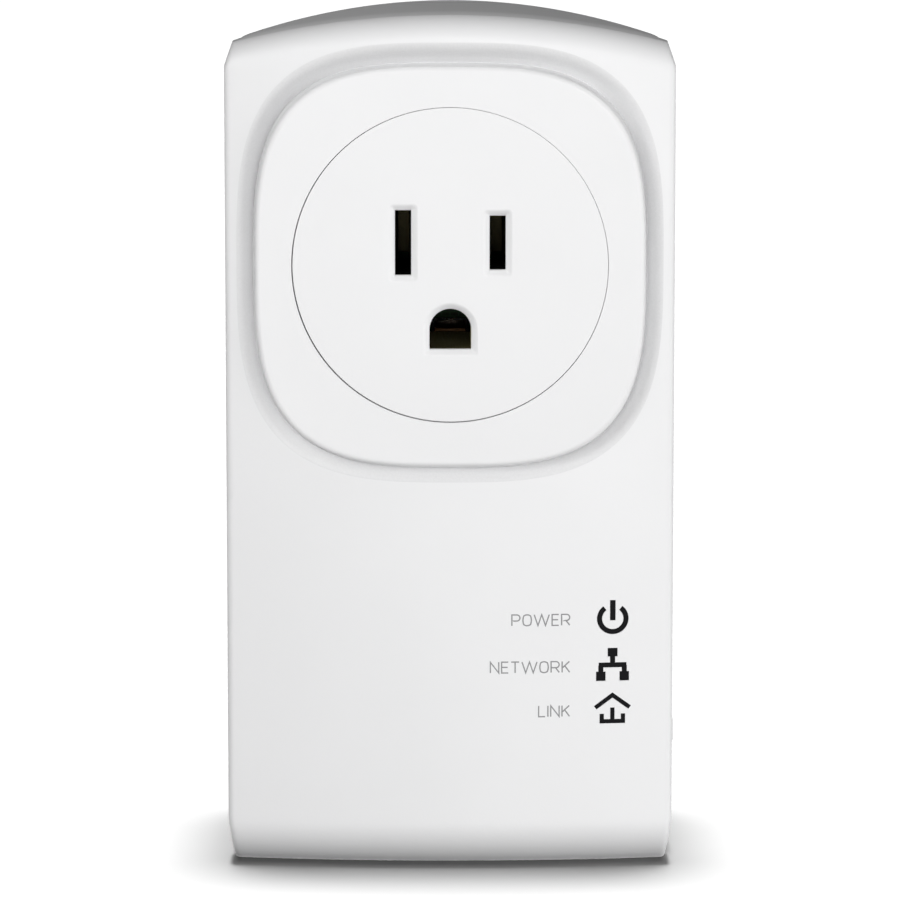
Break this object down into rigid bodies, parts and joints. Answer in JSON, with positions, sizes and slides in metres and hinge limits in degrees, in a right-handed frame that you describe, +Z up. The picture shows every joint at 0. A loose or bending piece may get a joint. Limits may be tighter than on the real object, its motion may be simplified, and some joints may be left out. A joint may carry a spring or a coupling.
{
  "type": "powerline adapter",
  "caption": "Plug-in powerline network adapter with a pass-through grounded mains outlet, a network jack underneath, status icons and a pairing button.",
  "frame": {"origin": "centre of the bounding box's bottom face, on the surface that the base stands on", "axes": "+Z up, the outlet and icons face -Y, the plug blades point to +Y, +X is to the right seen from the front"},
  "size_m": [0.0614, 0.0614, 0.1165],
  "materials": {
    "white_face": "semi-gloss moulded ABS with a fine spark-eroded grain",
    "white_case": "satin moulded ABS with a fine grain",
    "black_insulator": "matt glass-filled nylon",
    "contact_brass": "rolled spring brass, lightly tarnished",
    "copper_bar": "bare rolled copper",
    "plated_blade": "nickel plated, fine draw marks",
    "board_green": "solder resist over glass weave",
    "ferrite": "sintered, dull grey black",
    "winding_tape": "polyester tape over the coil",
    "capacitor_sleeve": "shrunk sleeve with a pressed metal top",
    "film_yellow": "moulded box",
    "varistor_blue": "dipped epoxy",
    "fuse_ceramic": "ceramic tube with metal caps",
    "chip_black": "moulded epoxy with tinned legs",
    "heat_sink_alloy": "extruded and clear anodised",
    "led_resin": "clear resin over a phosphor",
    "smoked_guide": "smoked acrylic, black when dark",
    "plunger_grey": "plain moulded",
    "screw_steel": "black zinc plated",
    "label_film": "matt silver film, blank",
    "sheet_film": "thin polyester film"
  },
  "bodies": {
    "housing": {"front_shell": "white_face", "outlet_face": "white_face", "rear_shell": "white_case", "plug_base": "white_case", "outlet_body": "black_insulator", "board_header": "black_insulator", "network_jack": "black_insulator", "sync_switch": "black_insulator", "reset_switch": "black_insulator", "neutral_contact": "contact_brass", "line_contact": "contact_brass", "ground_contact": "contact_brass", "jack_contacts": "contact_brass", "neutral_busbar": "copper_bar", "line_busbar": "copper_bar", "earth_strap": "copper_bar", "neutral_blade": "plated_blade", "line_blade": "plated_blade", "ground_pin": "plated_blade", "logic_board": "board_green", "power_board": "board_green", "transformer_core": "ferrite", "common_mode_choke": "ferrite", "filter_inductor": "ferrite", "transformer_winding": "winding_tape", "bulk_capacitor_1": "capacitor_sleeve", "bulk_capacitor_2": "capacitor_sleeve", "x_capacitor": "film_yellow", "varistor": "varistor_blue", "fuse": "fuse_ceramic", "bridge_rectifier": "chip_black", "coupling_transformer": "chip_black", "main_chip": "chip_black", "memory_chip": "chip_black", "network_magnetics": "chip_black", "heat_sink": "heat_sink_alloy", "power_led": "led_resin", "network_led": "led_resin", "link_led": "led_resin", "power_light_guide": "smoked_guide", "network_light_guide": "smoked_guide", "link_light_guide": "smoked_guide", "case_screw_1": "screw_steel", "case_screw_2": "screw_steel", "case_screw_3": "screw_steel", "case_screw_4": "screw_steel", "rating_label": "label_film", "insulating_sheet": "sheet_film"},
    "sync_button": {"sync_button": "white_case", "sync_plunger": "plunger_grey"},
    "reset_button": {"reset_plunger": "plunger_grey"}
  },
  "joints": [
    {"name": "sync_press", "type": "slide", "parent": "housing", "child": "sync_button", "axis": [-1, 0, 0], "range_m": [0, 0.0005], "stiffness_N_per_m": 3000},
    {"name": "reset_press", "type": "slide", "parent": "housing", "child": "reset_button", "axis": [0, 0, 1], "range_m": [0, 0.0004], "stiffness_N_per_m": 3000}
  ]
}
